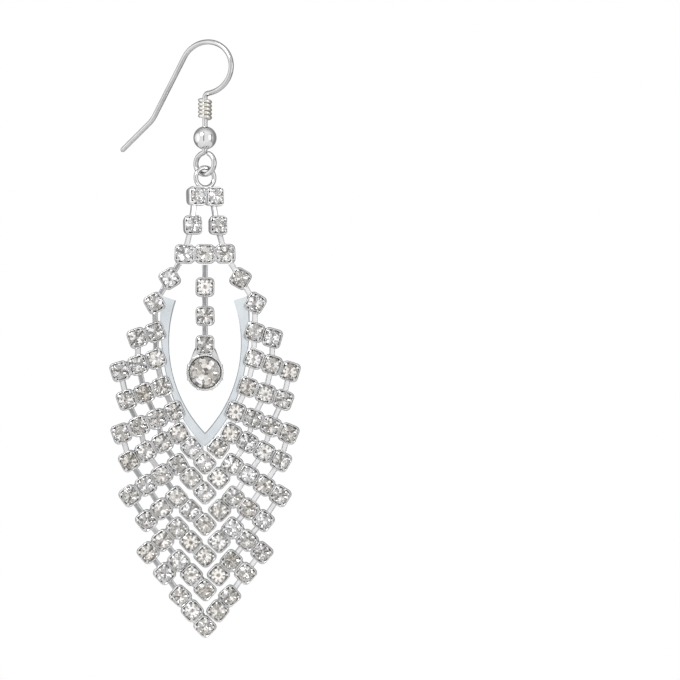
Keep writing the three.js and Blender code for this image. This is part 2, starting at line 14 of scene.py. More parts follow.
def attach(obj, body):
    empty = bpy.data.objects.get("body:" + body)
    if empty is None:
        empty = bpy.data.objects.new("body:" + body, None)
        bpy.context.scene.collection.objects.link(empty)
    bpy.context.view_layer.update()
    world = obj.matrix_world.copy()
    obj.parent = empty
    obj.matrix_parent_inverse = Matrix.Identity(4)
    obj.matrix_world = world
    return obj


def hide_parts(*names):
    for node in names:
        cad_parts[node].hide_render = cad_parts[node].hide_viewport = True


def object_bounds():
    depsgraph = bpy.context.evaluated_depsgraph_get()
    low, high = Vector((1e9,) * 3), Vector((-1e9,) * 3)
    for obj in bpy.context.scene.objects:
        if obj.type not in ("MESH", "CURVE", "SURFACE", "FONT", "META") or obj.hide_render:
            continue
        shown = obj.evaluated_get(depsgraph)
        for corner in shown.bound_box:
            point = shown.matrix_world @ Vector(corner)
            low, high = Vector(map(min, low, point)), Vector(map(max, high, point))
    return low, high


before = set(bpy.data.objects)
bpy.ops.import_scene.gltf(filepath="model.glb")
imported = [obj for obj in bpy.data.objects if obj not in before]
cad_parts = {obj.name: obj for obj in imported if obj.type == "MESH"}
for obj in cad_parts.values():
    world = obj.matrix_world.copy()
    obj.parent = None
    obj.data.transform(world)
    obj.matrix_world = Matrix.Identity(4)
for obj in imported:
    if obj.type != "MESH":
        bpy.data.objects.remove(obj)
cad_low, cad_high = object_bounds()

MM = 0.001

# Ear wire
WIRE_RADIUS = 0.33
BEND_INNER_RADIUS = 2.97
BEND_OVAL = 1.14  # its width over its height
BEND_SHIFT = 0.18
SHANK_REACH = 8.05
SHANK_DROP = 9.27
TIP_LENGTH = 5.9
TIP_SLOPE = 38
KINK_RADIUS = 4
NECK_RADIUS = 0.5
HOOK_YAW = -32
EYE_RADIUS = 1.38
EYE_NECK = 0.1
EYE_DROP = 0.3
STEM_INSET = 0.1  # where the stem starts, under the neck's end
EYE_SHOULDER = 0.35  # above the eye's top, where the stem leaves the straight
EYE_BEND_RADIUS = 0.55
EYE_BEND = 48
EYE_START = 110
EYE_END = 425
WIRE_SIDES = 16
TIP_STEPS = 6
KINK_STEPS = 10
SHANK_STEPS = 8
BEND_STEPS = 48
NECK_STEPS = 8
STEM_STEPS = 10
EYE_BEND_STEPS = 5
EYE_STEPS = 40

# A wire's rounded end. width: share of the wire's radius. past: how far past its end, in radii.
WIRE_END = [
    dict(width=0.98, past=0.1),
    dict(width=0.82, past=0.55),
    dict(width=0.45, past=0.88),
    dict(width=0.12, past=1.0),
]

# Coil and bead
COIL_WIRE_RADIUS = 0.24
COIL_TURNS = 5
COIL_START = 90
COIL_PITCH = 0.5
COIL_CLEARANCE = 0.1
COIL_STEPS = 28  # in a turn
COIL_SIDES = 10
BEAD_RADIUS = 1.5
BEAD_CLEARANCE = 0.08
BEAD_LIP = 0.06
BEAD_LIP_DEPTH = 0.08
BEAD_SIDES = 48
BEAD_STEPS = 28
COIL_TO_BEAD = 0.73

# Jump ring
RING_RADIUS = 1.28
RING_WIRE_RADIUS = 0.3
RING_CLEARANCE = 0.22
RING_SIDES = 14
RING_STEPS = 44
SOLDER_OVERLAP = 0.45

# One cup and its stone
CUP_WIDTH = 2.42
CUP_HEIGHT = 2.52
CUP_TAPER = 0.3
RIM_TAPER = 0.18
BELLY_DEPTH = 0.4
CUP_DEPTH = 1.5
CUP_CORNER = 0.62
CUP_CORNER_STEPS = 4
CUP_GAP = 0.03
CUP_WALL = 0.08
SEAT_DEPTH = 0.1
SEAT_FALL = 0.12
SEAT_SHARE = 0.78
WELL_FALL = 0.9
WELL_SHARE = 0.25
RIM_ROUND = 0.04
RIM_ROUND_STEPS = 3
BACK_DISH = 0.12
BACK_INSET = 0.42
STONE_RADIUS = 1.03
STONE_SEAT = 0.04

# One prong, row by row. out: from the cup's middle. height: over its rim. lean: off the upright.
PRONG = [
    dict(out=1.12, height=-0.62, width=0.19, thick=0.07, lean=4),
    dict(out=1.22, height=-0.2, width=0.2, thick=0.09, lean=6),
    dict(out=1.23, height=0.04, width=0.2, thick=0.1, lean=-20),
    dict(out=1.14, height=0.2, width=0.18, thick=0.1, lean=-55),
    dict(out=1.0, height=0.28, width=0.14, thick=0.08, lean=-72),
    dict(out=0.9, height=0.3, width=0.08, thick=0.04, lean=-85),
]
PRONG_SIDES = 8

# A round brilliant's cut
CROWN_SLOPE = 37.0
TABLE_SHARE = 0.53
STAR_EASE = 14  # how much flatter the star facets are than the main ones
STAR_SHARE = 1.04  # their reach, over the table's
UPPER_STEEPER = 5.5
PAVILION_SLOPE = 41.5
LOWER_STEEPER = 1.6
CULET_STEEPER = 1.5
GIRDLE_SHARE = 0.02
BLANK_SIDES = 32
STONE_MERGE = 1e-3  # over its radius
FOILED = -0.1  # facets that face back more than this have the foil

# Links and solder
LINK_LENGTH = 1.18
LINK_WIDTH = 0.8
LINK_THICKNESS = 0.4
LINK_INSET = 0.14
LINK_BITE = 0.3
LINK_WAIST = 0.12
BAR_ROUND = 0.18
BAR_STEEPNESS = 2.0
BAR_STEPS = 6
SOLDER_WIDTH = 1.9
SOLDER_THICKNESS = 1.0
WELL_METAL = 1  # places among a setting's materials
LINK_METAL = 2
RING_METAL = 3
BACKING = 1  # the foil's place among a stone's materials
NODE_GAP = 0.12
SPLIT_GAP = 0.13

# Crown, side chains and centre strand
RING_YAW = 24
SECOND_ROW_YAW = 16
SECOND_ROW_HALF_SPAN = 1.7
THIRD_ROW_PITCH = 2.6
SIDE_STONES = 2
SIDE_SLOPE = 58.5
CENTRE_STONES = 3
CENTRE_DROP = 0.55
DROP_BITE = 0.12
DROP_RADIUS = 2.37
DROP_WALL = 0.3
SHOULDER_FOOT = 30  # angle on the large rim where the flare up to the last small cup starts
SHOULDER_TOP = 68
SHOULDER_RISE = 1.0
SHOULDER_INSET = 0.3
SHOULDER_THICKNESS = 0.8
SHOULDER_STEPS = 10
DROP_DEPTH = 2.4
DROP_BASE_SHARE = 0.72
DROP_STONE_RADIUS = 1.97
DROP_STONE_SEAT = -0.1
DROP_STONE_TILT = 1.5
DROP_STONE_LEAN = -1
DROP_STONE_SPIN = 9
DROP_SIDES = 40
DROP_CLAWS = 8
DROP_CLAW_INSET = 1.16
DROP_CLAW_SIZE = 0.8

# The leaf's opening and its band
OPENING_HALF_WIDTH = 4.62
OPENING_WIDEST = 1.4
BAND_WIDTH = 0.56
BAND_LAP = 0.3
BAND_FLARE = 1.1
BAND_FLARE_LENGTH = 8.5
BAND_TIP_FLARE = 0.4
BAND_TIP_LENGTH = 7
BAND_STEPS = 56
BAND_PAST_MIDDLE = 4
BAND_THICKNESS = 0.4
BAND_TOP = 0.35
BAND_ROUND = 0.1
BAND_STEEPNESS = 2.2

# Rows of each wing. step: drop to the row in chain pitches. strand: the chain of its inner stone.
# slope: how steeply it falls outwards. chevron: slope of the V's arm.
LEAF_ROWS = [
    dict(step=1.0, strand=0, stones=2, slope=18, chevron=0),
    dict(step=0.92, strand=0, stones=3, slope=19.5, chevron=0),
    dict(step=0.97, strand=0, stones=3, slope=20, chevron=0),
    dict(step=0.86, strand=0, stones=4, slope=22.5, chevron=0),
    dict(step=0.75, strand=0, stones=4, slope=29, chevron=49),
    dict(step=1.08, strand=1, stones=4, slope=33, chevron=46.5),
    dict(step=1.13, strand=2, stones=3, slope=38, chevron=44),
    dict(step=1.07, strand=3, stones=3, slope=40, chevron=45.5),
    dict(step=1.13, strand=4, stones=2, slope=42, chevron=48),
    dict(step=1.22, strand=5, stones=1, slope=50, chevron=51),
]
ARM_STONES = 2

# How far hand-set cups, stones and links stray, in degrees
STRAY_SEED = 21
CUP_STRAY = 2.2
STONE_STRAY = 6.0
LINK_STRAY = 3.5
LEFT_LINK_LEAN = 6.3

# The photograph's frame
PICTURE = 680
PIXELS_PER_MM = 7.8
AXIS_PIXEL = 205
TOP_PIXEL = 39.5
LENS = 120
SENSOR = 36
CLIP_NEAR = 0.01
CLIP_FAR = 10

# Finishes. The grains are how often a pattern turns in a metre.
TONE_GRAIN = 420.0
POLISH_GRAIN = 900.0
PEEL_GRAIN = 2600.0
BAND_PEEL_GRAIN = 1800.0
PEEL_DEPTH = 0.00004
GLASS_GRAIN = 260.0
FOIL_GRAIN = 700.0
PAPER_GRAIN = 30.0
GLASS_IOR = 1.56
SMOOTH_ANGLE = 35

# Studio: how bright each part of the room is, and how dark what stands in it
PANEL_LIGHT = 0.66
OVERHEAD_LIGHT = 0.1
BEHIND_LIGHT = 0.4
ASIDE_LIGHT = 0.6
ROOM_LIGHT = 0.26
STAND_SHADE = 0.62
GAP_SHADE = 0.4
GLINT_GRAIN = 3.4
GLINT_LIGHT = 0.27
FLOOR_RADIUS = 0.16
FLOOR_DROP = 0.045
FLOOR_SIDES = 96
SOFTBOX_AIM = (0, 0, -0.04)

# Distances that count as none
LEVEL = 1e-5
MERGE = 1e-4
BAND_MERGE = 1e-3


def cosine(degrees):
    return math.cos(math.radians(degrees))


def sine(degrees):
    return math.sin(math.radians(degrees))


def turn(degrees, axis):
    return Matrix.Rotation(math.radians(degrees), 4, axis)


# Heights that follow from the sizes
BEND_RADIUS = BEND_INNER_RADIUS + WIRE_RADIUS
BEND_MIDDLE = BEND_SHIFT / BEND_OVAL
NECK_DROP = math.sqrt((BEND_RADIUS + NECK_RADIUS) ** 2 - (NECK_RADIUS - BEND_MIDDLE) ** 2)
STEM_TOP = -BEND_INNER_RADIUS - NECK_DROP
COIL_RADIUS = WIRE_RADIUS + COIL_CLEARANCE + COIL_WIRE_RADIUS
COIL_TOP = STEM_TOP - COIL_WIRE_RADIUS
COIL_BOTTOM = COIL_TOP - COIL_TURNS * COIL_PITCH
BEAD_CENTRE = COIL_BOTTOM - COIL_WIRE_RADIUS - COIL_TO_BEAD - BEAD_RADIUS
EYE_APEX = BEAD_CENTRE - BEAD_RADIUS - EYE_DROP
EYE_CENTRE = EYE_APEX - EYE_NECK - EYE_RADIUS
RING_TOP = EYE_CENTRE - EYE_RADIUS + WIRE_RADIUS + RING_WIRE_RADIUS + RING_CLEARANCE
RING_CENTRE = RING_TOP - RING_RADIUS
CUP_PITCH = CUP_WIDTH + CUP_GAP
CHAIN_PITCH = CUP_HEIGHT + LINK_LENGTH
FIRST_ROW = RING_CENTRE - RING_RADIUS - RING_WIRE_RADIUS + SOLDER_OVERLAP - CUP_HEIGHT / 2
SECOND_ROW = FIRST_ROW - CHAIN_PITCH
THIRD_ROW = SECOND_ROW - CHAIN_PITCH


class Place:
    """Where a cup sits: the middle of its body, its roll in its own plane, its yaw, and its widening."""

    def __init__(self, x, z, roll=0.0, yaw=0.0, wide=1.0):
        self.middle = Vector((x * cosine(yaw), x * sine(yaw), z))
        self.roll = roll
        self.yaw = yaw
        self.wide = wide

    def mirrored(self):
        other = Place(0, 0, -self.roll, -self.yaw, self.wide)
        other.middle = Vector((-self.middle.x, self.middle.y, self.middle.z))
        return other

    def facing(self):
        return Vector((sine(self.yaw), -cosine(self.yaw), 0))

    def matrix(self):
        """From a piece drawn facing +Z, with its rim at the origin, to the cup's place."""
        return (
            Matrix.Translation(self.middle)
            @ turn(self.yaw, "Z")
            @ turn(self.roll, "Y")
            @ Matrix.Translation((0, -CUP_DEPTH / 2, 0))
            @ turn(90, "X")
            @ Matrix.Diagonal((self.wide, 1, 1, 1))
        )


# Bmesh tools


def added(bm, mesh, matrix):
    """Appends a copy of a mesh, set in place."""
    first = len(bm.verts)
    bm.from_mesh(mesh)
    bm.verts.ensure_lookup_table()
    bmesh.ops.transform(bm, matrix=matrix, verts=bm.verts[first:])


def template(name, bm):
    """A finished mesh to be repeated, with its faces turned out."""
    bmesh.ops.recalc_face_normals(bm, faces=bm.faces)
    mesh = bpy.data.meshes.new(name)
    bm.to_mesh(mesh)
    bm.free()
    return mesh


def ring_edges(ring):
    members = set(ring)
    return list({e for v in ring for e in v.link_edges if e.other_vert(v) in members})


def carry(bm, verts, frames):
    """Carries a section drawn at the origin through frames and closes its far end."""
    bmesh.ops.transform(bm, matrix=frames[0], verts=verts)
    edges = ring_edges(verts)
    for before, after in zip(frames, frames[1:]):
        ring = verts_of(bmesh.ops.extrude_edge_only(bm, edges=edges)["geom"])
        bmesh.ops.transform(bm, matrix=after @ before.inverted(), verts=ring)
        edges = ring_edges(ring)
    bmesh.ops.contextual_create(bm, geom=edges)


def sweep(bm, frames, sides):
    """Carries a round section through frames, each with its place, direction and half-sizes."""
    section = bmesh.ops.create_circle(bm, cap_ends=True, segments=sides, radius=1)
    carry(bm, section["verts"], frames)


def frame_at(place, along, across, half_across, half_depth):
    """A section's frame. Its third axis runs along the sweep."""
    along = along.normalized()
    across = (across - along * across.dot(along)).normalized()
    depth = along.cross(across)
    columns = (across * half_across, depth * half_depth, along)
    matrix = Matrix.Identity(4)
    for column, vector in enumerate(columns):
        matrix.col[column] = (*vector, 0)
    matrix.col[3] = (*place, 1)
    return matrix


def wire_end(point, along, across, radius, outwards):
    """The frames that round off a wire's end, from its last full section."""
    return [
        frame_at(
            point + along.normalized() * radius * row["past"] * outwards,
            along,
            across,
            radius * row["width"],
            radius * row["width"],
        )
        for row in WIRE_END
    ]


def wire_frames(points, radius, across):
    """Frames of a wire along points, with both ends rounded. across(point) is its side there."""
    ways = [after - before for before, after in zip(points[:1] + points, points[1:] + points[-1:])]
    made = [frame_at(point, way, across(point), radius, radius) for point, way in zip(points, ways)]
    start = wire_end(points[0], ways[0], across(points[0]), radius, -1)
    return start[::-1] + made + wire_end(points[-1], ways[-1], across(points[-1]), radius, 1)


def bevelled(bm, geometry, offset, segments, affect="EDGES"):
    return bmesh.ops.bevel(
        bm,
        geom=geometry,
        offset=offset,
        offset_type="OFFSET",
        segments=segments,
        profile=0.5,
        affect=affect,
        material=-1,
    )


def spun(bm, geometry, axis, steps):
    """Spins a profile once round an axis through the origin and closes its seam."""
    bmesh.ops.spin(
        bm, geom=geometry, axis=axis, cent=(0, 0, 0), angle=math.tau, steps=steps, use_merge=True
    )
    bmesh.ops.remove_doubles(bm, verts=bm.verts, dist=MERGE)


def everything(bm):
    return bm.verts[:] + bm.edges[:] + bm.faces[:]


def verts_of(items):
    return [item for item in items if isinstance(item, bmesh.types.BMVert)]


# Materials


class Value:
    """A number socket that Python's operators work on. Each use adds its Math node."""

    def __init__(self, shader, socket):
        self.shader = shader
        self.socket = socket

    def math(self, operation, *others):
        inputs = dict(enumerate((self.socket, *others)))
        made = self.shader.node("ShaderNodeMath", {"operation": operation}, inputs)
        return Value(self.shader, made.outputs[0])

    def __add__(self, other):
        return self.math("ADD", other)

    __radd__ = __add__

    def __mul__(self, other):
        return self.math("MULTIPLY", other)

    __rmul__ = __mul__

    def __sub__(self, other):
        return self.math("SUBTRACT", other)

    def __rsub__(self, other):
        return (self * -1) + other

    def __abs__(self):
        return self.math("ABSOLUTE")

    def step(self, low, high):
        """0 under low, 1 over high, and smooth between them."""
        settings = {"interpolation_type": "SMOOTHSTEP"}
        made = self.shader.node("ShaderNodeMapRange", settings, {0: self.socket, 1: low, 2: high})
        return Value(self.shader, made.outputs[0])


class Shader:
    """A node tree under construction."""

    def __init__(self, tree):
        self.tree = tree
        tree.nodes.clear()

    def node(self, kind, settings=None, inputs=None):
        """Adds a node, makes its settings, then gives its sockets their values or links."""
        made = self.tree.nodes.new(kind)
        for key, value in (settings or {}).items():
            if key == "stops":
                ramp = made.color_ramp
                while len(ramp.elements) < len(value):
                    ramp.elements.new(0.5)
                for element, (position, colour) in zip(ramp.elements, value):
                    element.position = position
                    element.color = (*colour, 1)
            else:
                setattr(made, key, value)
        for key, value in (inputs or {}).items():
            if isinstance(value, Value):
                value = value.socket
            if isinstance(value, bpy.types.NodeSocket):
                self.tree.links.new(value, made.inputs[key])
            else:
                made.inputs[key].default_value = value
        return made

    def coordinates(self):
        return self.node("ShaderNodeTexCoord").outputs["Object"]

    def noise(self, scale, detail=2.0, roughness=0.5, vector=None):
        inputs = {"Scale": scale, "Detail": detail, "Roughness": roughness}
        inputs["Vector"] = vector or self.coordinates()
        return Value(self, self.node("ShaderNodeTexNoise", None, inputs).outputs["Fac"])

    def blend(self, factor, dark, light):
        settings = {"stops": [(0.3, dark), (0.7, light)]}
        return self.node("ShaderNodeValToRGB", settings, {"Fac": factor}).outputs["Color"]

    def bump(self, height, strength, distance):
        inputs = {"Height": height, "Strength": strength, "Distance": distance}
        return self.node("ShaderNodeBump", None, inputs).outputs["Normal"]

    def finish(self, **inputs):
        named = {key.replace("_", " "): value for key, value in inputs.items()}
        surface = self.node("ShaderNodeBsdfPrincipled", None, named).outputs[0]
        self.node("ShaderNodeOutputMaterial", None, {"Surface": surface})


def material(name):
    made = bpy.data.materials.new(name)
    made.use_nodes = True
    return made, Shader(made.node_tree)


def grey(level):
    return (level, level, level)


def silver_plate(name, dark, light, smooth, rough, grain=PEEL_GRAIN, dents=0.05):
    """Bright plated metal: two close tones, wandering polish, and a faint orange peel."""
    made, shader = material(name)
    tone = shader.noise(TONE_GRAIN, 3.0)
    polish = shader.noise(POLISH_GRAIN, 4.0, 0.6)
    peel = shader.noise(grain, 3.0, 0.55)
    shader.finish(
        Base_Color=shader.blend(tone, dark, light),
        Metallic=1.0,
        Roughness=polish.step(0.3, 0.75) * (rough - smooth) + smooth,
        Normal=shader.bump(peel, dents, PEEL_DEPTH),
    )
    return made


def crystal_glass():
    """Clear glass whose tint wanders a little from stone to stone."""
    made, shader = material("crystal_glass")
    tint = shader.noise(GLASS_GRAIN, 1.0)
    shader.finish(
        Base_Color=shader.blend(tint, (0.93, 0.94, 0.97), (1.0, 0.985, 0.97)),
        Roughness=0.0,
        IOR=GLASS_IOR,
        Transmission_Weight=1.0,
    )
    return made


def foil(name, dark, light):
    """The silver foil behind a stone's pavilion, seen through the glass."""
    made, shader = material(name)
    tint = shader.noise(FOIL_GRAIN)
    shader.finish(
        Base_Color=shader.blend(tint, dark, light),
        Metallic=1.0,
        Roughness=0.03,
    )
    return made


WIRE_SILVER = silver_plate("wire_silver", grey(0.53), grey(0.67), smooth=0.1, rough=0.2)
COIL_SILVER = silver_plate(
    "coil_silver", (0.74, 0.72, 0.67), (0.88, 0.87, 0.83), smooth=0.14, rough=0.26
)
BEAD_SILVER = silver_plate(
    "bead_silver", (0.79, 0.79, 0.8), (0.88, 0.88, 0.89), smooth=0.03, rough=0.08, dents=0.02
)
CUP_SILVER = silver_plate("cup_silver", grey(0.7), grey(0.88), smooth=0.2, rough=0.38, dents=0.12)
# Painted light: the crown's cups are a brighter copy of the cup silver, so the top of the piece reads
# lighter.
CROWN_PAINTED_LIGHT_SILVER = silver_plate("crown_painted_light_silver", grey(0.8), grey(0.93), smooth=0.2, rough=0.38, dents=0.12)
LINK_SILVER = silver_plate(
    "link_silver", (0.82, 0.82, 0.83), (0.94, 0.94, 0.95), smooth=0.1, rough=0.2, dents=0.08
)
WELL_SILVER = silver_plate("well_silver", (0.76, 0.76, 0.75), grey(0.92), smooth=0.25, rough=0.4)
BAND_SILVER = silver_plate(
    "band_silver",
    (0.76, 0.81, 0.85),
    (0.85, 0.89, 0.92),
    smooth=0.2,
    rough=0.3,
    grain=BAND_PEEL_GRAIN,
    dents=0.1,
)
GLASS = crystal_glass()
STONE_FOIL = foil("stone_foil", (0.66, 0.64, 0.6), (0.93, 0.93, 0.94))
# Painted light: the crown's foil is a brighter copy of the stone foil, so the crown's stones read lighter.
CROWN_PAINTED_LIGHT_FOIL = foil("crown_painted_light_foil", (0.8, 0.79, 0.77), grey(0.98))


def piece(name, bm, materials, body, node, smooth_angle=SMOOTH_ANGLE):
    """A finished object in metres that rides its body and stands for its node."""
    bmesh.ops.scale(bm, vec=(MM, MM, MM), verts=bm.verts)
    mesh = bpy.data.meshes.new(name)
    bm.to_mesh(mesh)
    bm.free()
    for one in materials:
        mesh.materials.append(one)
    if smooth_angle:
        mesh.shade_smooth()
        mesh.set_sharp_from_angle(angle=math.radians(smooth_angle))
    made = bpy.data.objects.new(name, mesh)
    if smooth_angle:
        flats = made.modifiers.new("flats", "WEIGHTED_NORMAL")
        flats.keep_sharp = True
    bpy.context.scene.collection.objects.link(made)
    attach(made, body)
    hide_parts(node)


# Templates: one cup, its prongs, and cut stones


def prong(bm, angle, push=0.0, size=1.0):
    """A tab that rises up the wall and folds in over the stone. push moves it out, size scales it."""
    frames = []
    for row in PRONG:
        place = Vector(((row["out"] - 1) * size + 1 + push, 0, row["height"] * size))
        along = Vector((sine(row["lean"]), 0, cosine(row["lean"])))
        frames.append(frame_at(place, along, Vector((0, 1, 0)), row["width"] * size, row["thick"] * size))
    around = turn(angle, "Z")
    sweep(bm, [around @ one for one in frames], PRONG_SIDES)


def uprights(bm):
    return [e for e in bm.edges if abs(e.verts[0].co.z - e.verts[1].co.z) > CUP_DEPTH / 2]


def sunk(bm, face, deeper, narrower):
    """Sinks a level face into the cup, narrows it, and returns its new floor."""
    walls = bmesh.ops.extrude_face_region(bm, geom=[face])["geom"]
    floor = next(item for item in walls if isinstance(item, bmesh.types.BMFace))
    bmesh.ops.delete(bm, geom=[face], context="FACES_ONLY")
    bmesh.ops.translate(bm, vec=(0, 0, -deeper), verts=floor.verts)
    bmesh.ops.scale(bm, vec=(narrower, narrower, 1), verts=floor.verts)
    for corner in floor.verts:
        for wall in corner.link_faces:
            wall.material_index = WELL_METAL
    return floor


def cup_template():
    """A square cup with round corners, a well for the stone, a dished back and four prongs."""
    bm = bmesh.new()
    bmesh.ops.create_cube(bm, size=1)
    bmesh.ops.scale(bm, vec=(CUP_WIDTH, CUP_HEIGHT, CUP_DEPTH), verts=bm.verts)
    bmesh.ops.translate(bm, vec=(0, 0, -CUP_DEPTH / 2), verts=bm.verts)
    bevelled(bm, uprights(bm), CUP_CORNER, CUP_CORNER_STEPS)
    waist = bmesh.ops.subdivide_edges(bm, edges=uprights(bm), cuts=1, use_grid_fill=True)
    lift = CUP_DEPTH / 2 - BELLY_DEPTH
    bmesh.ops.translate(bm, vec=(0, 0, lift), verts=verts_of(waist["geom_inner"]))
    front = max(bm.faces, key=lambda face: face.calc_center_median().z)
    back = min(bm.faces, key=lambda face: face.calc_center_median().z)
    for face, taper in ((front, RIM_TAPER), (back, CUP_TAPER)):
        narrowed = (1 - taper / CUP_WIDTH, 1 - taper / CUP_HEIGHT, 1)
        bmesh.ops.scale(bm, vec=narrowed, verts=face.verts)
    bmesh.ops.inset_region(bm, faces=[front], thickness=CUP_WALL, use_even_offset=True)
    for deeper, narrower in ((SEAT_DEPTH, 1), (SEAT_FALL, SEAT_SHARE), (WELL_FALL, WELL_SHARE)):
        front = sunk(bm, front, deeper, narrower)
    bmesh.ops.inset_region(bm, faces=[back], thickness=BACK_INSET, use_even_offset=True)
    bmesh.ops.translate(bm, vec=(0, 0, BACK_DISH), verts=back.verts)
    rim = [e for e in bm.edges if all(abs(v.co.z) < LEVEL for v in e.verts)]
    outer = [e for e in rim if any(f.calc_center_median().z < -SEAT_DEPTH for f in e.link_faces)]
    bevelled(bm, outer, RIM_ROUND, RIM_ROUND_STEPS)
    for quarter in range(4):
        prong(bm, 45 + 90 * quarter)
    return template("cup", bm)


def facet(bm, azimuth, slope, point):
    """Grinds one facet: everything past the plane through a point, tilted by its slope, goes."""
    normal = Vector((sine(slope) * cosine(azimuth), sine(slope) * sine(azimuth), cosine(slope)))
    place = Vector((point[0] * cosine(azimuth), point[0] * sine(azimuth), point[1]))
    cut = bmesh.ops.bisect_plane(
        bm, geom=everything(bm), dist=LEVEL, plane_co=place, plane_no=normal, clear_outer=True
    )["geom_cut"]
    open_edges = [item for item in cut if isinstance(item, bmesh.types.BMEdge) and item.is_boundary]
    if open_edges:
        bmesh.ops.holes_fill(bm, edges=open_edges, sides=0)


def stone_template(name, radius):
    """A round brilliant, girdle at the origin and table towards +Z, ground facet by facet."""
    table = (radius - radius * TABLE_SHARE) * math.tan(math.radians(CROWN_SLOPE))
    culet = radius * math.tan(math.radians(PAVILION_SLOPE + CULET_STEEPER))
    edge = radius * GIRDLE_SHARE
    bm = bmesh.new()
    bmesh.ops.create_cone(
        bm, cap_ends=True, segments=BLANK_SIDES, radius1=radius, radius2=radius, depth=table + culet
    )
    bmesh.ops.translate(bm, vec=(0, 0, (table - culet) / 2), verts=bm.verts)
    eighth = 360 / 8
    for i in range(8):
        azimuth = eighth * i
        facet(bm, azimuth, CROWN_SLOPE, (radius, edge))
        facet(bm, azimuth + eighth / 2, CROWN_SLOPE - STAR_EASE, (radius * TABLE_SHARE * STAR_SHARE, table))
        facet(bm, azimuth, 180 - PAVILION_SLOPE, (radius, -edge))
        for side in (-eighth / 4, eighth / 4):
            facet(bm, azimuth + side, CROWN_SLOPE + UPPER_STEEPER, (radius, edge))
            facet(bm, azimuth + side, 180 - PAVILION_SLOPE - LOWER_STEEPER, (radius, -edge))
    bmesh.ops.remove_doubles(bm, verts=bm.verts, dist=radius * STONE_MERGE)
    bmesh.ops.recalc_face_normals(bm, faces=bm.faces)
    for face in bm.faces:
        if face.normal.z < FOILED:
            face.material_index = BACKING
    return template(name, bm)


CUP = cup_template()
STONE = stone_template("stone", STONE_RADIUS)
DROP_STONE = stone_template("drop_stone_cut", DROP_STONE_RADIUS)

strays = random.Random(STRAY_SEED)


def stray(amount):
    return strays.uniform(-amount, amount)


def flat_section(bm, width, thickness, edge=BAR_ROUND, steepness=BAR_STEEPNESS):
    """A flat rectangle with cut corners, steep at its sides."""
    square = bmesh.ops.create_circle(
        bm, cap_ends=True, segments=4, radius=math.sqrt(0.5), matrix=turn(45, "Z")
    )["verts"]
    bmesh.ops.scale(bm, vec=(width, thickness / steepness, 1), verts=square)
    cut = bevelled(bm, square, edge, 1, "VERTICES")["verts"]
    bmesh.ops.scale(bm, vec=(1, steepness, 1), verts=cut)
    return cut


def bar(bm, start, end, width, thickness, trims, lean=0.0, waist=0.0):
    """A flat bar between two cups, low in their walls, trimmed at both ends from their middles."""
    back = CUP_DEPTH / 2 - thickness / 2 - LINK_INSET
    first = start.middle - start.facing() * back
    last = end.middle - end.facing() * back
    along = (last - first).normalized()
    first += along * trims[0]
    last -= along * trims[1]
    front = (start.facing() + end.facing()).normalized()
    across = Matrix.Rotation(math.radians(lean), 3, along) @ front.cross(along)
    section = flat_section(bm, width, thickness)
    rows = []
    for i in range(BAR_STEPS + 1):
        share = i / BAR_STEPS
        slim = 1 - waist * math.sin(math.pi * share)
        rows.append(frame_at(first.lerp(last, share), along, across, slim, 1))
    carry(bm, section, rows)


def link(bm, start, end, lean=0.0, trim=None):
    inside = (CUP_WIDTH - CUP_TAPER) / 2 - LINK_BITE
    trims = (inside if trim is None else trim, inside)
    others = len(bm.faces)
    bar(bm, start, end, LINK_WIDTH, LINK_THICKNESS, trims, lean + stray(LINK_STRAY), LINK_WAIST)
    given(bm, others, LINK_METAL)


def given(bm, others, metal):
    """Gives a metal to the faces made after the others."""
    bm.faces.ensure_lookup_table()
    for face in bm.faces[others:]:
        face.material_index = metal


def solder(bm, start, end):
    reach = CUP_WIDTH / 2 - CUP_WALL / 2
    bar(bm, start, end, SOLDER_WIDTH, SOLDER_THICKNESS, (reach, reach))


def pairs(places):
    return list(zip(places, places[1:]))


def chain(name, node, places, build_metal, cup=CUP_SILVER, backing=STONE_FOIL):
    """The settings and the stones of one field, each as a piece of its own."""
    metal = bmesh.new()
    build_metal(metal)
    bmesh.ops.recalc_face_normals(metal, faces=metal.faces)
    stones = bmesh.new()
    for place in places:
        jitter = turn(stray(CUP_STRAY), "X") @ turn(stray(CUP_STRAY), "Y") @ turn(stray(CUP_STRAY), "Z")
        seat = place.matrix() @ jitter
        added(metal, CUP, seat)
        spin = turn(strays.uniform(0, 360), "Z")
        tilt = turn(stray(STONE_STRAY), "X") @ turn(stray(STONE_STRAY), "Y")
        added(stones, STONE, seat @ Matrix.Translation((0, 0, STONE_SEAT)) @ spin @ tilt)
    piece(name + "_settings", metal, [cup, WELL_SILVER, LINK_SILVER, WIRE_SILVER], "drop", node)
    piece(name + "_stones", stones, [GLASS, backing], "drop", node, smooth_angle=0)


# The ear wire, its coil and its bead


def arc(centre, radius, start, end, steps):
    """Points on a circle in the wire's plane, from one angle to another in degrees."""
    angles = [start + (end - start) * i / steps for i in range(steps + 1)]
    return [Vector((centre[0] + radius * cosine(a), 0, centre[1] + radius * sine(a))) for a in angles]


def straight(start, end, steps):
    return [start.lerp(end, i / steps) for i in range(steps + 1)]


def curve(start, corner, end, steps):
    """A bend that leaves one straight and joins another, drawn towards their corner."""
    shares = [i / steps for i in range(steps + 1)]
    return [start.lerp(corner, share).lerp(corner.lerp(end, share), share) for share in shares]


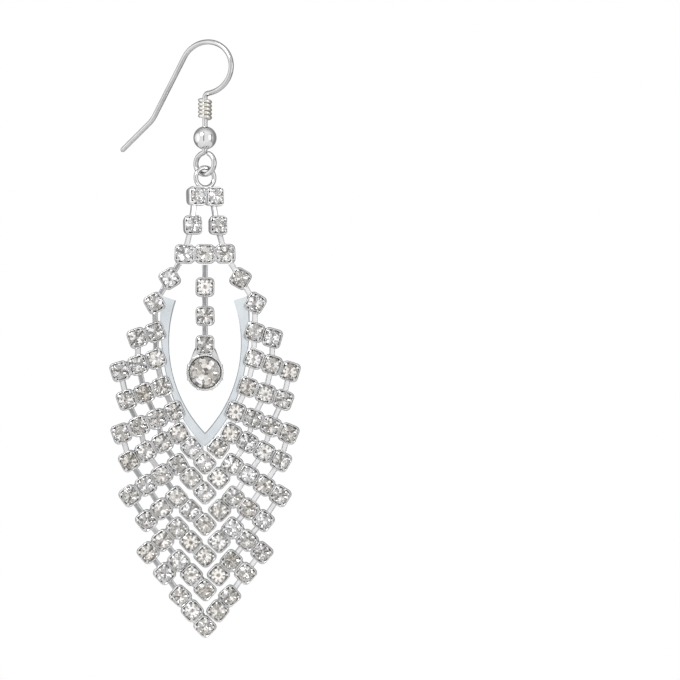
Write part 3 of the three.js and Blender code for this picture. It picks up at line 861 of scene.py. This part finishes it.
def hook_path():
    """Tip, kink, shank, bend and neck, drawn with a round bend and widened, then stem and eye."""
    bend = Vector((BEND_MIDDLE, 0, -BEND_INNER_RADIUS))
    kink = Vector((-SHANK_REACH / BEND_OVAL, 0, -SHANK_DROP))
    tip = kink - Vector((TIP_LENGTH * cosine(TIP_SLOPE) / BEND_OVAL, 0, TIP_LENGTH * sine(TIP_SLOPE)))
    to_kink = kink - bend
    kink_angle = math.degrees(math.atan2(to_kink.z, to_kink.x)) % 360
    touch = kink_angle - math.degrees(math.acos(BEND_RADIUS / to_kink.length))
    touch_point = bend + Vector((cosine(touch), 0, sine(touch))) * BEND_RADIUS
    tip_way = (tip - kink).normalized()
    shank_way = (touch_point - kink).normalized()
    cut = KINK_RADIUS * math.tan(math.acos(-tip_way.dot(shank_way)) / 2)
    before = kink + tip_way * cut
    after = kink + shank_way * cut
    neck_start = math.degrees(math.atan2(NECK_DROP, BEND_MIDDLE - NECK_RADIUS))
    points = straight(tip, before, TIP_STEPS)[:-1]
    points += curve(before, kink, after, KINK_STEPS)
    points += straight(after, touch_point, SHANK_STEPS)[1:-1]
    points += arc((bend.x, bend.z), BEND_RADIUS, touch, neck_start - 180, BEND_STEPS)
    points += arc((NECK_RADIUS, STEM_TOP), NECK_RADIUS, neck_start, 180, NECK_STEPS)[1:]
    for point in points:
        point.x *= BEND_OVAL
    shoulder_height = EYE_APEX + EYE_SHOULDER
    points += straight(Vector((0, 0, STEM_TOP - STEM_INSET)), Vector((0, 0, shoulder_height)), STEM_STEPS)
    points += arc((-EYE_BEND_RADIUS, shoulder_height), EYE_BEND_RADIUS, 0, -EYE_BEND, EYE_BEND_STEPS)[1:]
    points += arc((0, EYE_CENTRE), EYE_RADIUS, EYE_START, EYE_END, EYE_STEPS)[1:]
    return points


def ear_hook():
    def sideways(point):
        return Vector((0, 1, 0))

    bm = bmesh.new()
    sweep(bm, wire_frames(hook_path(), WIRE_RADIUS, sideways), WIRE_SIDES)
    bmesh.ops.transform(bm, matrix=turn(HOOK_YAW, "Z"), verts=bm.verts)
    bmesh.ops.recalc_face_normals(bm, faces=bm.faces)
    piece("ear_hook", bm, [WIRE_SILVER], "hook", "ear_wire")


def wound_coil():
    def outwards(point):
        return Vector((point.x, point.y, 0))

    steps = COIL_TURNS * COIL_STEPS
    points = []
    for i in range(steps + 1):
        angle = COIL_START + 360 * i / COIL_STEPS
        height = COIL_TOP + (COIL_BOTTOM - COIL_TOP) * i / steps
        points.append(Vector((COIL_RADIUS * cosine(angle), COIL_RADIUS * sine(angle), height)))
    bm = bmesh.new()
    sweep(bm, wire_frames(points, COIL_WIRE_RADIUS, outwards), COIL_SIDES)
    bmesh.ops.recalc_face_normals(bm, faces=bm.faces)
    piece("hook_coil", bm, [COIL_SILVER], "hook", "wire_coil")


def polished_bead():
    """The bead, spun from its profile with a small lip round the bore."""
    bore = WIRE_RADIUS + BEAD_CLEARANCE
    lip = math.degrees(math.asin((bore + BEAD_LIP) / BEAD_RADIUS))
    bore_end = BEAD_RADIUS * cosine(lip) - BEAD_LIP_DEPTH
    ball = arc((0, 0), BEAD_RADIUS, lip - 90, 90 - lip, BEAD_STEPS)
    bm = bmesh.new()
    profile = [Vector((bore, 0, -bore_end)), *ball, Vector((bore, 0, bore_end))]
    verts = [bm.verts.new(point) for point in profile]
    edges = [bm.edges.new(pair) for pair in zip(verts, verts[1:] + verts[:1])]
    spun(bm, verts + edges, (0, 0, 1), BEAD_SIDES)
    bmesh.ops.recalc_face_normals(bm, faces=bm.faces)
    bmesh.ops.translate(bm, vec=(0, 0, BEAD_CENTRE), verts=bm.verts)
    piece("polished_bead", bm, [BEAD_SILVER], "hook", "ball_bead")


# The crown


def crown_row(count, pitch, z, yaw, wide=1.0):
    return [Place((i - (count - 1) / 2) * pitch, z, 0, yaw, wide) for i in range(count)]


def jump_ring(bm):
    """The ring that the eye carries. It is made first, while the mesh holds nothing else."""
    verts = bmesh.ops.create_circle(bm, segments=RING_SIDES, radius=RING_WIRE_RADIUS)["verts"]
    bmesh.ops.translate(bm, vec=(RING_RADIUS, 0, 0), verts=verts)
    spun(bm, verts + bm.edges[:], (0, 1, 0), RING_STEPS)
    place = Matrix.Translation((0, 0, RING_CENTRE)) @ turn(RING_YAW, "Z")
    bmesh.ops.transform(bm, matrix=place, verts=bm.verts)
    given(bm, 0, RING_METAL)


first_row = crown_row(2, CUP_PITCH, FIRST_ROW, RING_YAW)
second_row = crown_row(2, 2 * SECOND_ROW_HALF_SPAN, SECOND_ROW, SECOND_ROW_YAW)
third_row = crown_row(3, THIRD_ROW_PITCH, THIRD_ROW, 0, THIRD_ROW_PITCH / CUP_PITCH)


def linked(bm, places, lean=0.0):
    for start, end in pairs(places):
        link(bm, start, end, lean)


def soldered(bm, places):
    for start, end in pairs(places):
        solder(bm, start, end)


def crown_metal(bm):
    jump_ring(bm)
    for side in (0, 1):
        linked(bm, [first_row[side], second_row[side], third_row[side * 2]])
    soldered(bm, first_row)
    soldered(bm, third_row)


# The leaf

side_start = Place(THIRD_ROW_PITCH, THIRD_ROW)
side_stones = [
    Place(
        side_start.middle.x + (i + 1) * CHAIN_PITCH * cosine(SIDE_SLOPE),
        THIRD_ROW - (i + 1) * CHAIN_PITCH * sine(SIDE_SLOPE),
        90 - SIDE_SLOPE,
    )
    for i in range(SIDE_STONES)
]
side_end = side_stones[-1].middle.z
row_heights = []
for row in LEAF_ROWS:
    above = row_heights[-1] if row_heights else side_end
    row_heights.append(above - row["step"] * CHAIN_PITCH)
first_chevron = next(i for i, row in enumerate(LEAF_ROWS) if row["chevron"])
WIDEST_HEIGHT = row_heights[0] - OPENING_WIDEST
TAPER = WIDEST_HEIGHT - row_heights[first_chevron]
EDGE_RADIUS = (OPENING_HALF_WIDTH**2 + TAPER**2) / (2 * OPENING_HALF_WIDTH)
EDGE_CENTRE = OPENING_HALF_WIDTH - EDGE_RADIUS


def edge_at(z):
    """How far out the opening's edge is at a height."""
    return EDGE_CENTRE + math.sqrt(EDGE_RADIUS**2 - (z - WIDEST_HEIGHT) ** 2)


def arm_reach(stones):
    """Along a chevron's arm, from its middle stone to the one that is so many stones out."""
    return stones * CUP_PITCH + (SPLIT_GAP if stones else 0)


def inner_stone(row, z):
    if row["chevron"]:
        return arm_reach(ARM_STONES) * cosine(row["chevron"])
    return edge_at(z) + BAND_WIDTH + CUP_WIDTH / 2


wing_rows = [
    [
        Place(
            inner_stone(row, z) + i * CUP_PITCH * cosine(row["slope"]),
            z - i * CUP_PITCH * sine(row["slope"]),
            row["slope"],
        )
        for i in range(row["stones"])
    ]
    for row, z in zip(LEAF_ROWS, row_heights)
]


def arm_of(row, z):
    """From a wing's inner stone down to the middle one, which comes last."""
    arm = []
    for i in range(ARM_STONES if row["chevron"] else 0):
        left = ARM_STONES - 1 - i
        x = arm_reach(left) * cosine(row["chevron"])
        drop = (arm_reach(ARM_STONES) - arm_reach(left)) * sine(row["chevron"])
        arm.append(Place(x, z - drop, -row["chevron"] if left else 45))
    return arm


arms = [arm_of(row, z) for row, z in zip(LEAF_ROWS, row_heights)]
strand_count = max(row["strand"] + row["stones"] for row in LEAF_ROWS)


def strand_stones(strand):
    found = []
    for row, stones in zip(LEAF_ROWS, wing_rows):
        index = strand - row["strand"]
        if 0 <= index < len(stones):
            found.append(stones[index])
    return found


def leaf_half(name, left):
    """One half of the leaf. The left one is the mirrored right one, with the middle stones."""
    own_arms = [arm if left else arm[:-1] for arm in arms]
    strands = [strand_stones(i) for i in range(strand_count)]
    chains = [side_stones + strands[0], *strands[1:]]
    runs = [list(reversed(stones)) + arm for stones, arm in zip(wing_rows, own_arms)]
    lean = LEFT_LINK_LEAN if left else 0.0

    def hand(places):
        return [place.mirrored() for place in places] if left else places

    def metal(bm):
        link(bm, *hand([side_start, side_stones[0]]), lean, CUP_HEIGHT / 2 + NODE_GAP)
        for one in chains:
            linked(bm, hand(one), lean)
        for run in runs:
            soldered(bm, hand(run))

    chain(name, name, hand(side_stones) + [place for run in runs for place in hand(run)], metal)


def inner_band():
    """A smooth band along each side's arc, wider towards its top, cut at the middle and mirrored."""
    top = side_end + BAND_TOP
    out = BAND_WIDTH + BAND_LAP
    centre = Vector((EDGE_CENTRE, CUP_DEPTH / 2 + NODE_GAP + BAND_THICKNESS / 2, WIDEST_HEIGHT))
    start = math.degrees(math.asin((top - WIDEST_HEIGHT) / EDGE_RADIUS))
    end = -math.degrees(math.acos(-EDGE_CENTRE / (EDGE_RADIUS + out + BAND_TIP_FLARE))) - BAND_PAST_MIDDLE
    rows = []
    for i in range(BAND_STEPS + 1):
        angle = start + (end - start) * i / BAND_STEPS
        height = WIDEST_HEIGHT + EDGE_RADIUS * sine(angle)
        wide = out + BAND_FLARE * max(0, 1 - (top - height) / BAND_FLARE_LENGTH) ** 2
        above = max(0, height - WIDEST_HEIGHT + TAPER)
        wide += BAND_TIP_FLARE * max(0, 1 - above / BAND_TIP_LENGTH)
        way = Vector((cosine(angle), 0, sine(angle)))
        along = Vector((sine(angle), 0, -cosine(angle)))
        rows.append(frame_at(centre + way * (EDGE_RADIUS + wide / 2), along, way, wide, 1))
    bm = bmesh.new()
    carry(bm, flat_section(bm, 1, BAND_THICKNESS, BAND_ROUND, BAND_STEEPNESS), rows)
    left = (-1, 0, 0)
    bmesh.ops.bisect_plane(
        bm, geom=everything(bm), dist=LEVEL, plane_co=(0, 0, 0), plane_no=left, clear_outer=True
    )
    bmesh.ops.mirror(bm, geom=everything(bm), axis="X", merge_dist=BAND_MERGE)
    bmesh.ops.remove_doubles(bm, verts=bm.verts, dist=BAND_MERGE)
    bmesh.ops.recalc_face_normals(bm, faces=bm.faces)
    piece("inner_band_strip", bm, [BAND_SILVER], "drop", "inner_band")


# The centre strand

centre_stones = [Place(0, THIRD_ROW - CENTRE_DROP - (i + 1) * CHAIN_PITCH) for i in range(CENTRE_STONES)]
DROP_CENTRE = centre_stones[-1].middle.z - CUP_HEIGHT / 2 - DROP_RADIUS + DROP_BITE
RIM_FRONT = -CUP_DEPTH / 2
DROP_PLACE = Matrix.Translation((0, RIM_FRONT, DROP_CENTRE)) @ turn(90, "X")
DROP_BASE = DROP_RADIUS * DROP_BASE_SHARE
DROP_INNER = DROP_RADIUS - DROP_WALL
DROP_FLOOR = -DROP_DEPTH + DROP_WALL

# The large setting's profile, from its base's middle up its wall, over its rim and down to its floor
DROP_PROFILE = [
    dict(radius=0, height=-DROP_DEPTH),
    dict(radius=DROP_BASE - 0.12, height=-DROP_DEPTH),
    dict(radius=DROP_BASE, height=-DROP_DEPTH + 0.1),
    dict(radius=DROP_RADIUS - 0.06, height=-0.62),
    dict(radius=DROP_RADIUS, height=-0.45),
    dict(radius=DROP_RADIUS, height=-0.12),
    dict(radius=DROP_RADIUS - 0.07, height=-0.02),
    dict(radius=DROP_RADIUS - 0.2, height=0),
    dict(radius=DROP_INNER, height=-0.08),
    dict(radius=DROP_INNER - 0.05, height=-0.5),
    dict(radius=DROP_INNER * 0.6, height=DROP_FLOOR),
    dict(radius=0, height=DROP_FLOOR),
]


def drop_setting(bm):
    """The round open setting, spun from its profile, with eight claws."""
    setting = bmesh.new()
    verts = [setting.verts.new((row["radius"], 0, row["height"])) for row in DROP_PROFILE]
    edges = [setting.edges.new(pair) for pair in zip(verts, verts[1:])]
    spun(setting, verts + edges, (0, 0, 1), DROP_SIDES)
    for i in range(DROP_CLAWS):
        prong(setting, 360 * (i + 0.5) / DROP_CLAWS, DROP_RADIUS - DROP_CLAW_INSET, DROP_CLAW_SIZE)
    added(bm, template("drop_setting", setting), DROP_PLACE)


def shoulder(bm, side):
    """The flare on one side, from the large rim up to the wall of the last small cup."""
    depth = RIM_FRONT + SHOULDER_INSET + SHOULDER_THICKNESS / 2
    inner = DROP_RADIUS - DROP_WALL / 2
    rows = []
    for i in range(SHOULDER_STEPS + 1):
        share = i / SHOULDER_STEPS
        angle = SHOULDER_FOOT + (SHOULDER_TOP - SHOULDER_FOOT) * share
        outer = DROP_RADIUS + SHOULDER_RISE * share**2
        out = Vector((side * cosine(angle), 0, sine(angle)))
        along = Vector((-side * sine(angle), 0, cosine(angle)))
        middle = Vector((0, depth, DROP_CENTRE)) + out * (inner + outer) / 2
        rows.append(frame_at(middle, along, out, outer - inner, 1))
    carry(bm, flat_section(bm, 1, SHOULDER_THICKNESS), rows)


def centre_strand():
    def metal(bm):
        drop_setting(bm)
        link(bm, Place(0, THIRD_ROW), centre_stones[0], LEFT_LINK_LEAN, CUP_HEIGHT / 2 + NODE_GAP)
        linked(bm, centre_stones, LEFT_LINK_LEAN)
        for side in (-1, 1):
            shoulder(bm, side)

    chain("centre", "centre_strand", centre_stones, metal)


def drop_stone():
    bm = bmesh.new()
    tilt = turn(DROP_STONE_TILT, "X") @ turn(DROP_STONE_LEAN, "Y") @ turn(DROP_STONE_SPIN, "Z")
    added(bm, DROP_STONE, DROP_PLACE @ Matrix.Translation((0, 0, DROP_STONE_SEAT)) @ tilt)
    piece("drop_stone", bm, [GLASS, STONE_FOIL], "drop", "drop_crystal", smooth_angle=0)


# Studio


def studio_world():
    """White to the camera. Metal sees soft panels before and behind it, and stones a broken pattern."""
    world = bpy.data.worlds.new("studio")
    bpy.context.scene.world = world
    world.use_nodes = True
    shader = Shader(world.node_tree)
    way = shader.node("ShaderNodeTexCoord").outputs["Generated"]
    parts = shader.node("ShaderNodeSeparateXYZ", None, {0: way})
    across, depth, up = (Value(shader, parts.outputs[i]) for i in range(3))
    ahead = depth * -1
    panel = ahead.step(-0.5, 0.7) * PANEL_LIGHT
    overhead = up.step(0.3, 0.9) * OVERHEAD_LIGHT
    behind = depth.step(0.93, 0.98) * BEHIND_LIGHT
    aside = (across * -1).step(0.75, 0.92) * (1 - behind) * ASIDE_LIGHT
    stand = abs(across + 0.22).step(0.13, 0.06) * ahead.step(0.4, 0.6) * STAND_SHADE
    gap = abs(across - 0.88).step(0.09, 0.04) * ahead.step(0.1, 0.2) * GAP_SHADE
    soft = panel + overhead + behind + aside + ROOM_LIGHT - stand - gap
    broken = shader.noise(GLINT_GRAIN, 2.0, 0.6, way)
    glints = broken.step(0.43, 0.53) * 0.5 + broken.step(0.56, 0.64) * 0.8 + GLINT_LIGHT
    path = shader.node("ShaderNodeLightPath")
    through = Value(shader, path.outputs["Is Transmission Ray"])
    camera = Value(shader, path.outputs["Is Camera Ray"])
    seen = through * glints + (1 - through) * soft
    level = camera + (1 - camera) * seen
    background = shader.node("ShaderNodeBackground", None, {"Color": (1, 1, 1, 1), "Strength": level})
    shader.node("ShaderNodeOutputWorld", None, {"Surface": background.outputs[0]})


def pale_floor():
    bm = bmesh.new()
    bmesh.ops.create_circle(bm, cap_ends=True, segments=FLOOR_SIDES, radius=FLOOR_RADIUS)
    bmesh.ops.translate(bm, vec=(0, 0, cad_low.z - FLOOR_DROP), verts=bm.verts)
    mesh = bpy.data.meshes.new("floor")
    bm.to_mesh(mesh)
    bm.free()
    floor = bpy.data.objects.new("floor", mesh)
    bpy.context.scene.collection.objects.link(floor)
    made, shader = material("floor_paper")
    shade = shader.noise(PAPER_GRAIN)
    shader.finish(Base_Color=shader.blend(shade, grey(0.9), grey(0.94)), Roughness=0.8)
    mesh.materials.append(made)


def softbox(name, place, size, power):
    data = bpy.data.lights.new(name, "AREA")
    data.shape = "RECTANGLE"
    data.size, data.size_y = size
    data.energy = power
    lamp = bpy.data.objects.new(name, data)
    bpy.context.scene.collection.objects.link(lamp)
    lamp.location = place
    lamp.rotation_mode = "QUATERNION"
    lamp.rotation_quaternion = (Vector(SOFTBOX_AIM) - Vector(place)).to_track_quat("-Z", "Y")
    lamp.visible_camera = False


def front_camera():
    """The photograph's frame: pixel rows and columns give the view's middle and its distance."""
    data = bpy.data.cameras.new("camera")
    data.lens = LENS
    data.sensor_width = SENSOR
    made = bpy.data.objects.new("camera", data)
    bpy.context.scene.collection.objects.link(made)
    top = 2 * WIRE_RADIUS
    middle = top - (PICTURE / 2 - TOP_PIXEL) / PIXELS_PER_MM
    distance = PICTURE / PIXELS_PER_MM / SENSOR * LENS
    made.location = Vector((0, -distance, middle)) * MM
    made.rotation_euler = (math.radians(90), 0, 0)
    data.shift_x = (PICTURE / 2 - AXIS_PIXEL) / PICTURE
    data.clip_start = CLIP_NEAR
    data.clip_end = CLIP_FAR
    bpy.context.scene.camera = made


ear_hook()
wound_coil()
polished_bead()
chain("crown", "crown_ladder", first_row + second_row + third_row, crown_metal, CROWN_PAINTED_LIGHT_SILVER, CROWN_PAINTED_LIGHT_FOIL)
leaf_half("leaf_left", left=True)
leaf_half("leaf_right", left=False)
inner_band()
centre_strand()
drop_stone()
studio_world()
pale_floor()
softbox("key", place=(-0.25, -0.35, 0.25), size=(0.22, 0.22), power=1.2)
softbox("fill", place=(0.35, -0.3, 0.0), size=(0.16, 0.3), power=0.22)
front_camera()
bpy.context.scene.view_settings.view_transform = "Standard"
